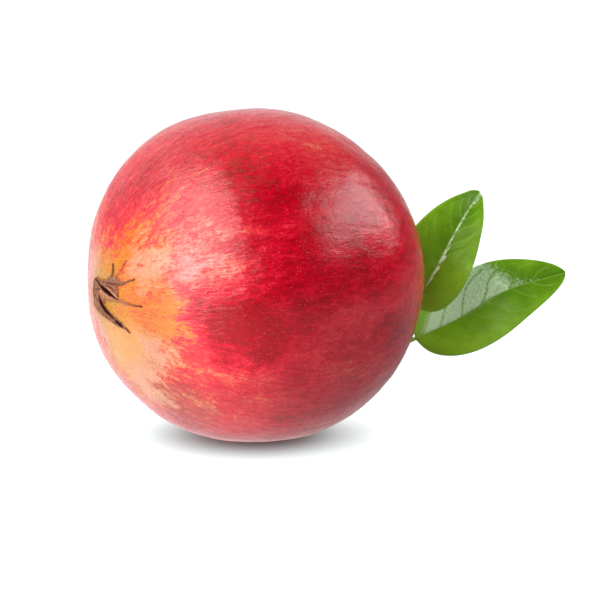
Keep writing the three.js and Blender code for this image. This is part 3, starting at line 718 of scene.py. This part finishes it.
# Each midrib's points run from the stalk to the tip, in mm from the fruit's centre, and the upper side
# looks along face. The outline has two powers, for how full the blade is towards its root and towards
# its tip, and how round the tip is. Skew is how much wider the blade is on one side of the midrib, fold
# is how steeply its halves rise, and the wave has a height, a count and a phase.
LEAVES = {
    "upper_leaf": {
        "node": "leaf_upper",
        "midrib": [(53.2, 17.9, -19.3), (57.3, 13.5, -10), (66.4, 12.5, 6.2), (74.9, 16.5, 14.3)],
        "face": (-0.38, -0.88, 0.3),
        "half_width": 10.3,
        "outline": (0.42, 0.81, 3.8),
        "skew": -0.09,
        "fold": 0.16,
        "wave": (0.5, 2.5, 0.4),
        # The painted highlight, a pale patch in the colour where the lamps' gloss shows: its side of the
        # midrib, how soft its edge is, and then at shares of the midrib how far it reaches and how thick it
        # is
        "painted_gloss": (1, 0.6, [
            (0.12, 0.1, 1), (0.26, 0.8, 1), (0.31, 1.1, 1), (0.32, 0.8, 1), (0.39, 1.5, 1), (0.4, 0.9, 1),
            (0.47, 1.9, 1), (0.48, 1, 0.9), (0.55, 1.4, 0.8), (0.565, 0.9, 0.75), (0.72, 0.9, 0.7),
            (0.85, 0.8, 0.6), (0.93, 1.6, 0.45), (1, 1.2, 0.5)]),
        "veins": [  # share of the midrib, and share of the half width
            [(0.12, 0), (0.19, 0.35), (0.28, 0.62), (0.38, 0.74)],
            [(0.23, 0), (0.367, 0.36), (0.465, 0.58), (0.568, 0.66), (0.662, 0.68)],
            [(0.4, 0), (0.45, 0.1), (0.515, 0.2), (0.575, 0.5), (0.63, 0.66)],
            [(0.53, 0), (0.59, 0.2), (0.65, 0.48), (0.71, 0.66)],
            [(0.63, 0), (0.7, 0.22), (0.74, 0.45), (0.8, 0.66)],
            [(0.73, 0), (0.81, 0.36), (0.87, 0.62)],
            [(0.83, 0), (0.89, 0.35), (0.94, 0.6)],
            [(0.15, 0), (0.2, -0.3), (0.27, -0.62), (0.36, -0.82)],
            [(0.28, 0), (0.345, -0.24), (0.405, -0.5), (0.468, -0.72), (0.55, -0.85)],
            [(0.39, 0), (0.45, -0.26), (0.51, -0.55), (0.6, -0.8)],
            [(0.48, 0), (0.542, -0.24), (0.623, -0.64), (0.695, -0.85)],
            [(0.62, 0), (0.68, -0.2), (0.753, -0.55), (0.82, -0.78)],
            [(0.75, 0), (0.81, -0.35), (0.88, -0.66)],
            [(0.85, 0), (0.9, -0.35), (0.94, -0.6)],
        ],
    },
    "lower_leaf": {
        "node": "leaf_lower",
        "midrib": [(51.7, 17.3, -27.6), (68.5, 18.2, -22.6), (83, 15, -14.6), (100.1, 12, -10.3)],
        "face": (-0.3, -0.76, 0.56),
        "half_width": 11.2,
        "outline": (0.42, 0.66, 0),
        "skew": 0.07,
        "fold": 0.17,
        "wave": (0.6, 2, 2.1),
        "painted_gloss": (-1, 6, [
            (0.1, 0, 1), (0.2, 14, 1), (0.42, 17, 1), (0.5, 13, 0.85), (0.62, 8, 0.75), (0.7, 4.5, 0.75),
            (0.85, 2, 0.8), (0.95, 0, 0.8)]),
        "veins": [
            [(0.13, 0), (0.19, -0.35), (0.27, -0.66), (0.36, -0.8)],
            [(0.24, 0), (0.31, -0.36), (0.38, -0.62), (0.48, -0.78)],
            [(0.38, 0), (0.44, -0.36), (0.5, -0.6), (0.6, -0.78)],
            [(0.51, 0), (0.55, -0.15), (0.593, -0.4), (0.628, -0.55), (0.682, -0.69), (0.758, -0.76)],
            [(0.68, 0), (0.75, -0.45), (0.785, -0.66), (0.85, -0.78)],
            [(0.81, 0), (0.86, -0.38), (0.92, -0.62)],
            [(0.16, 0), (0.22, 0.36), (0.3, 0.68), (0.4, 0.82)],
            [(0.29, 0), (0.35, 0.36), (0.42, 0.66), (0.52, 0.84)],
            [(0.42, 0), (0.48, 0.34), (0.54, 0.62), (0.64, 0.84)],
            [(0.53, 0), (0.555, 0.14), (0.62, 0.6), (0.72, 0.83), (0.863, 0.78)],
            [(0.69, 0), (0.74, 0.36), (0.8, 0.66)],
            [(0.8, 0), (0.86, 0.35), (0.925, 0.6)],
        ],
    },
}

# A leaf of the pomegranate, grown, with a skin of wax: glossy green above, paler along its veins and
# margin, and dull below. It carries painted light and shade too: see the notes by its colours.
glossy_leaf, tree, shader = new_material("pomegranate_leaf_glossy")
VEINLETS, VEINLET_DEPTH = 0.9, 0.08 * MM  # mm between the finest veins, and how deep they show
CLOUDS = 5  # mm, the size of the lighter and darker places
PEBBLES = 0.8  # mm, the size of the painted highlight's specks and of the green's fine mottle
blade_place = add_node(tree, "ShaderNodeAttribute", attribute_name="blade_place").outputs["Vector"]
margin_tone_and_painted_light, underside, vein, painted_gloss = (
    add_node(tree, "ShaderNodeAttribute", attribute_name=title).outputs["Fac"]
    for title in ("margin_tone_and_painted_light", "underside", "vein", "painted_gloss"))
cells = add_node(tree, "ShaderNodeTexVoronoi", {
    "Vector": blade_place, "Scale": 1 / VEINLETS, "Randomness": 0.9}, feature="DISTANCE_TO_EDGE")
cloud, pebble = (
    add_node(tree, "ShaderNodeTexNoise", {
        "Vector": blade_place, "Scale": 1 / across, "Detail": detail, "Roughness": 0.6})
    for across, detail in ((CLOUDS, 4), (PEBBLES, 2)))
# The paleness holds the margins' own paler tone, and painted light: lighter at the root, darker at the tip
spread = add_node(tree, "ShaderNodeMath", {0: cloud, 1: 0.7, 2: margin_tone_and_painted_light}, operation="MULTIPLY_ADD")
spread = add_node(tree, "ShaderNodeMath", {0: pebble, 1: 0.3, 2: spread}, operation="MULTIPLY_ADD")
GREEN = [(0.2, "#4e7a06"), (0.45, "#5e900a"), (0.7, "#76a812"), (1.0, "#92c628")]
hue = add_node(tree, "ShaderNodeValToRGB", {0: spread}, stops=[(p, linear(c)) for p, c in GREEN])
netting = add_node(tree, "ShaderNodeMapRange", {
    "Value": cells.outputs["Distance"], "From Min": 0.0, "From Max": 0.12, "To Min": 0.2, "To Max": 0.0})
# The painted highlight, speckled: a near-white patch that stands in for the lamps' gloss on the blade
speckled_painted_gloss = add_node(tree, "ShaderNodeMath", {0: pebble, 1: 1.2, 2: painted_gloss}, operation="MULTIPLY_ADD")
painted_gloss_amount = add_node(tree, "ShaderNodeMapRange", {
    "Value": speckled_painted_gloss, "From Min": 0.83, "From Max": 1.6, "To Min": 0.0, "To Max": 1.0})
# The colours laid over the green: the veinlets' netting, the paler underside, the veins, and the painted
# highlight
LEAF_LAYERS = [(netting, "#7aa636"), (underside, "#7c9c4c"), (vein, "#94b848"), (painted_gloss_amount, "#e4fcd2")]
for amount, layer in LEAF_LAYERS:
    hue = add_node(
        tree, "ShaderNodeMix", {"Factor": amount, "A": hue, "B": linear(layer)}, data_type="RGBA")
feed(tree, shader.inputs["Base Color"], hue)
shader.inputs["Roughness"].default_value = 0.36
shader.inputs["Specular IOR Level"].default_value = 0.2
leaf_bump = add_node(tree, "ShaderNodeBump", {
    "Strength": 0.4, "Distance": VEINLET_DEPTH, "Height": cells.outputs["Distance"]})
feed(tree, shader.inputs["Normal"], leaf_bump)


def smooth(x):
    """0 to 1 with soft ends, as x goes from 0 to 1."""
    x = np.clip(x, 0, 1)
    return x * x * (3 - 2 * x)


for name, leaf in LEAVES.items():
    # Rows run along the midrib, at t, and columns run across, at v from margin to margin
    t = 1 - (1 - np.linspace(0, 1, BLADE_ROWS)[:, None]) ** ROW_CROWDING
    v = np.linspace(-1, 1, BLADE_COLUMNS)[None, :]
    v = np.sign(v) * np.abs(v) ** COLUMN_CROWDING
    middle, along, _, length = flowing_curve(leaf["midrib"], t[:, 0])
    side = unit(np.cross(along, leaf["face"]))
    up = np.cross(side, along)
    stem = 1 - smooth(t / (2 * PETIOLE_SHARE))
    body = 1 - stem
    s = np.maximum(0, (t - PETIOLE_SHARE) / (1 - PETIOLE_SHARE))
    root_power, tip_power, tip_roundness = leaf["outline"]
    widest = root_power / (root_power + tip_power)
    half = leaf["half_width"] * (s / widest) ** root_power * ((1 - s) / (1 - widest)) ** tip_power
    half += tip_roundness * np.sqrt(1 - s) * hill((1 - s) / TIP_SHARE)
    half = np.maximum(half, TIP_HALF_WIDTH + (PETIOLE_HALF_WIDTH - TIP_HALF_WIDTH) * stem)
    across = v * half * (1 + np.sign(v) * leaf["skew"] * np.sqrt(np.sin(math.pi * t)))
    from_margin = (1 - np.abs(v)) * half
    # How near each point is to a side vein, on the flat blade
    flat = np.stack(np.broadcast_arrays(t * length, across), -1)
    nearest = np.full(across.shape, 99.0)
    for points in leaf["veins"]:
        path = even_curve(points, VEIN_STEPS)
        reach = np.interp(path[:, 0], t[:, 0], half[:, 0])
        for spot in np.stack([path[:, 0] * length, path[:, 1] * reach], 1):
            nearest = np.minimum(nearest, np.hypot(*(flat - spot).transpose(2, 0, 1)))
    # The relief, up from the midrib's curve
    wave_height, wave_count, wave_phase = leaf["wave"]
    turn = 2 * math.pi * wave_count * t + wave_phase + np.sign(v)
    lift = (leaf["fold"] * np.abs(across) + wave_height * v**2 * np.sin(turn)) * body
    swelling = SWELLING_HEIGHT * (1 - hill(nearest / SWELLING_START)) * np.minimum(from_margin / 2, 1)
    channel = CHANNEL_DEPTH * hill(across / CHANNEL_HALF_WIDTH) * (1 - 0.7 * t)
    rib = MIDRIB_HEIGHT * hill(across / MIDRIB_HALF_WIDTH) * (1 - t) * body
    thickness = BLADE_THICKNESS + (PETIOLE_THICKNESS - BLADE_THICKNESS) * stem
    thickness = thickness * np.minimum(1, MARGIN_THICKNESS + from_margin / MARGIN_TAPER)
    top = lift + (swelling - channel) * body + thickness / 2
    bottom = lift + (swelling - channel * CHANNEL_BELOW) * body - thickness / 2 - rib
    sheet = middle[:, None] + side[:, None] * across[..., None] + FRUIT_CENTRE
    surfaces = [(sheet + up[:, None] * height[..., None]).reshape(-1, 3) for height in (top, bottom)]
    # The upper side, the underside and the margin between them
    rows, columns = across.shape
    below = rows * columns
    a = (np.arange(rows - 1)[:, None] * columns + np.arange(columns - 1)).ravel()
    faces = np.stack([a, a + 1, a + columns + 1, a + columns], 1)
    rim = [*range(columns), *range(2 * columns - 1, below, columns),
           *range(below - 2, below - columns - 1, -1), *range(below - 2 * columns, 0, -columns)]
    rim_faces = [(p, q, below + q, below + p) for p, q in zip(rim[1:] + rim[:1], rim)]
    # Pale lines run along the veins and the margin, and the whole blade is paler towards its margins. It is
    # painted lighter towards its root and darker towards its tip, and a pale painted highlight lies where
    # the lamps' gloss shows
    pale_lines = np.maximum.reduce([
        0.6 * hill(nearest / SIDE_VEIN), (0.9 - 0.4 * t) * hill(across / MID_VEIN),
        0.6 * hill(from_margin / MARGIN_LINE)])
    # Paler towards the margins as the leaf's own tone; lighter towards the root and darker towards the tip
    # as painted light and shade
    margin_tone_and_painted_light = 0.4 * np.abs(v) + 0.4 * (1 - smooth(t / 0.6)) - 0.3 * smooth((t - 0.5) / 0.4)
    # The painted highlight: a pale patch painted where the lamps' gloss shows, thin beside the side veins
    bloom_side, softness, reaches = leaf["painted_gloss"]
    shares, reach, thick = zip(*reaches)
    leaning = t - PAINTED_GLOSS_LEAN * np.abs(across)
    inward = bloom_side * across
    painted_gloss = smooth((np.interp(leaning, shares, reach) - inward) / softness) * smooth(inward / PAINTED_GLOSS_START)
    painted_gloss = painted_gloss * np.interp(leaning, shares, thick) * (1 - 0.6 * hill(nearest / PAINTED_GLOSS_GAP))
    piece = add_piece(
        name, np.concatenate(surfaces),
        [*map(tuple, faces), *map(tuple, faces[:, ::-1] + below), *rim_faces],
        {"vein": np.tile(pale_lines.ravel(), 2), "margin_tone_and_painted_light": np.tile(margin_tone_and_painted_light.ravel(), 2),
         "painted_gloss": np.concatenate([painted_gloss.ravel(), np.zeros(below)]),
         "underside": np.repeat([0.0, 1.0], below),
         "blade_place": np.tile(np.dstack([flat, np.zeros(across.shape)]).reshape(-1, 3), (2, 1))})
    piece.data.materials.append(glossy_leaf)
    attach(piece, "root")
    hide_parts(leaf["node"])


# ---- The studio ----
# A light table whose edge is lost in the white behind it, two soft boxes that show on the rind as pale
# patches, and a dim room that is brighter behind the fruit, up and to the left.

AZIMUTH, ELEVATION = math.radians(-23), math.radians(13)
CAMERA_DISTANCE = 0.8  # m
LENS, SENSOR = 180, 36  # mm
AIM_RIGHT, AIM_UP = 12.2, -6.4  # the picture's middle, in mm from the fruit's centre
back = Vector((math.sin(AZIMUTH) * math.cos(ELEVATION), -math.cos(AZIMUTH) * math.cos(ELEVATION),
               math.sin(ELEVATION)))
right = Vector((0, 0, 1)).cross(back).normalized()
upward = back.cross(right)
centre = Vector(FRUIT_CENTRE * MM)

camera = bpy.data.objects.new("camera", bpy.data.cameras.new("camera"))
bpy.context.scene.collection.objects.link(camera)
camera.data.lens = LENS
camera.data.sensor_width = SENSOR
camera.data.clip_end = 10
camera.location = centre + right * AIM_RIGHT * MM + upward * AIM_UP * MM + back * CAMERA_DISTANCE
camera.rotation_euler = back.to_track_quat("Z", "Y").to_euler()
bpy.context.scene.camera = camera


def studio_way(x, y, z):
    """A direction given in the camera's terms: to its right, up and back."""
    return (right * x + upward * y + back * z).normalized()


FLOOR_HALF = 0.6  # m
floor_corners = [(x * FLOOR_HALF, y * FLOOR_HALF, 0) for x, y in ((-1, -1), (1, -1), (1, 1), (-1, 1))]
floor_mesh = bpy.data.meshes.new("floor")
floor_mesh.from_pydata(floor_corners, [], [(0, 1, 2, 3)])
floor = bpy.data.objects.new("floor", floor_mesh)
bpy.context.scene.collection.objects.link(floor)

# A frosted light table: it glows white, and its glow as the camera sees it is painted darker in an oval
# round the place where the fruit touches it, a painted shadow.
table_glass, tree, shader = new_material("frosted_light_table")
SHADOW_OVAL = (1.06, 0.88, 1)  # how far it is stretched across the picture and into it
SHADOW_CORE, SHADOW_EDGE = 8, 36  # mm
whole = add_node(tree, "ShaderNodeTexCoord")
oval = add_node(tree, "ShaderNodeMapping", {
    "Vector": whole.outputs["Object"], "Rotation": (0, 0, AZIMUTH), "Scale": SHADOW_OVAL},
    vector_type="TEXTURE")
reach = add_node(tree, "ShaderNodeVectorMath", {0: oval}, operation="LENGTH").outputs["Value"]
glow_and_painted_shadow = add_node(tree, "ShaderNodeMapRange", {
    "Value": reach, "From Min": SHADOW_CORE * MM, "From Max": SHADOW_EDGE * MM,
    "To Min": 0.05, "To Max": 0.98}, interpolation_type="SMOOTHSTEP")
# The light that it casts up on the fruit is another glow, brighter on the left and close to the fruit
LEFTWARD = (-0.95, 0, -0.3)
LEFT_START, LEFT_FULL = -60, 80  # mm along that way, from the fruit
NEAR_FULL, NEAR_END = 30, 75  # mm from it
leftward = add_node(tree, "ShaderNodeVectorMath", {
    0: whole.outputs["Object"], 1: tuple(studio_way(*LEFTWARD))}, operation="DOT_PRODUCT")
from_left = add_node(tree, "ShaderNodeMapRange", {
    "Value": leftward, "From Min": LEFT_START * MM, "From Max": LEFT_FULL * MM,
    "To Min": 0.1, "To Max": 1.2}, interpolation_type="SMOOTHSTEP")
nearby = add_node(tree, "ShaderNodeMapRange", {
    "Value": reach, "From Min": NEAR_FULL * MM, "From Max": NEAR_END * MM,
    "To Min": 0.3, "To Max": 0.0}, interpolation_type="SMOOTHSTEP")
upglow = add_node(tree, "ShaderNodeMath", {0: from_left, 1: nearby}, operation="ADD")
seen = add_node(tree, "ShaderNodeLightPath")
strength = add_node(tree, "ShaderNodeMix", {
    "Factor": seen.outputs["Is Camera Ray"], "A": upglow, "B": glow_and_painted_shadow}, data_type="FLOAT")
feed(tree, shader.inputs["Emission Strength"], strength)
shader.inputs["Emission Color"].default_value = (1, 1, 1, 1)
# A cyan-grey base, so that the fruit's red light bounced into the shadow comes out grey: a painted tint of
# the shade
shader.inputs["Base Color"].default_value = linear("#769392")
shader.inputs["Roughness"].default_value = 1
shader.inputs["Specular IOR Level"].default_value = 0
floor_mesh.materials.append(table_glass)

BOX_DISTANCE = 0.8  # m
# The way to it, the way its back faces, the way its width runs, its size in m and its brightness
SOFT_BOXES = {
    "left_soft_box": (
        (-0.382, 0.646, 0.661), (-0.942, -0.109, 0.319), (-0.214, 0.924, -0.317), (1.06, 1), 4.8),
    "right_soft_box": (
        (0.793, 0.619, 0.08), (0.926, -0.375, -0.04), (-0.092, -0.121, -0.988), (0.75, 0.6), 4.7),
}
for name, (towards, outward, along, size, brightness) in SOFT_BOXES.items():
    lamp = bpy.data.lights.new(name, "AREA")
    lamp.shape = "RECTANGLE"
    lamp.size, lamp.size_y = size
    lamp.energy = brightness * math.pi * size[0] * size[1]
    box = bpy.data.objects.new(name, lamp)
    box.location = centre + studio_way(*towards) * BOX_DISTANCE
    z = studio_way(*outward)
    y = z.cross(studio_way(*along)).normalized()
    box.rotation_euler = Matrix((y.cross(z), y, z)).transposed().to_euler()
    bpy.context.scene.collection.objects.link(box)

room = bpy.data.worlds.new("room")
room.use_nodes = True
tree = room.node_tree
bpy.context.scene.world = room
whole = add_node(tree, "ShaderNodeTexCoord")
ROOM_LIGHT = 0.03
BACKDROP = 1.05  # what the camera sees behind the fruit, a full white
ROOM_GLOWS = [  # the way to it, how near (as a cosine) it starts and is full, its brightness
    ((-0.35, 0.55, -0.75), 0.35, 1.0, 0.45),
    ((-0.15, 0.4, -0.9), 0.8, 1.0, 0.55),
]
light = ROOM_LIGHT
for towards, outer, inner, brightness in ROOM_GLOWS:
    facing = add_node(tree, "ShaderNodeVectorMath", {
        0: whole.outputs["Generated"], 1: tuple(studio_way(*towards))}, operation="DOT_PRODUCT")
    near = add_node(tree, "ShaderNodeMapRange", {
        "Value": facing, "From Min": outer, "From Max": inner, "To Min": 0.0, "To Max": brightness},
        interpolation_type="SMOOTHSTEP")
    light = add_node(tree, "ShaderNodeMath", {0: light, 1: near}, operation="ADD")
seen = add_node(tree, "ShaderNodeLightPath")
strength = add_node(tree, "ShaderNodeMix", {
    "Factor": seen.outputs["Is Camera Ray"], "A": light, "B": BACKDROP}, data_type="FLOAT")
backdrop = tree.nodes["Background"]
backdrop.inputs["Color"].default_value = (1, 1, 1, 1)
feed(tree, backdrop.inputs["Strength"], strength)
bpy.context.scene.view_settings.view_transform = "Standard"
